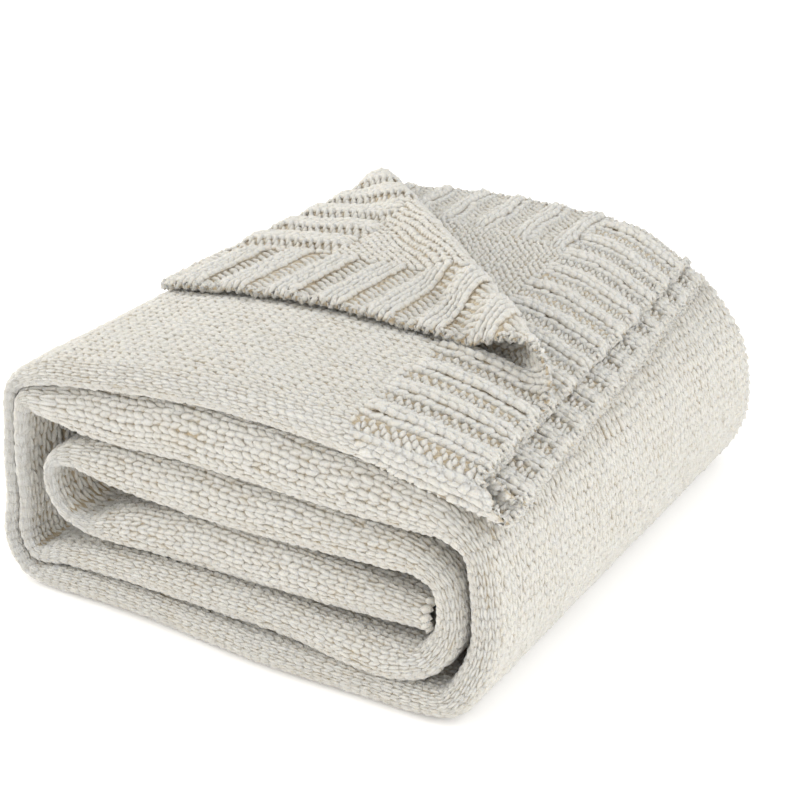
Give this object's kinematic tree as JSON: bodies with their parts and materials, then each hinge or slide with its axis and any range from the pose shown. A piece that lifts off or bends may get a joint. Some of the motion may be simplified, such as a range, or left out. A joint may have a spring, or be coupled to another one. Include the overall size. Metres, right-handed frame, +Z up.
{
  "type": "knit throw blanket",
  "caption": "Chunky knit throw blanket in soft cream yarn, folded lengthwise and rolled into a flat stack, with one ribbed corner turned back over the top.",
  "frame": {"origin": "centre of the bounding box at the surface that the folded stack rests on", "axes": "+Z up, +Y from the long front face with its row of rounded folds to the back, +X towards the plain end of the roll"},
  "size_m": [0.26, 0.3126, 0.1363],
  "materials": {
    "yarn": "soft matte chenille yarn"
  },
  "bodies": {
    "root": {"blanket": "yarn"}
  },
  "joints": []
}
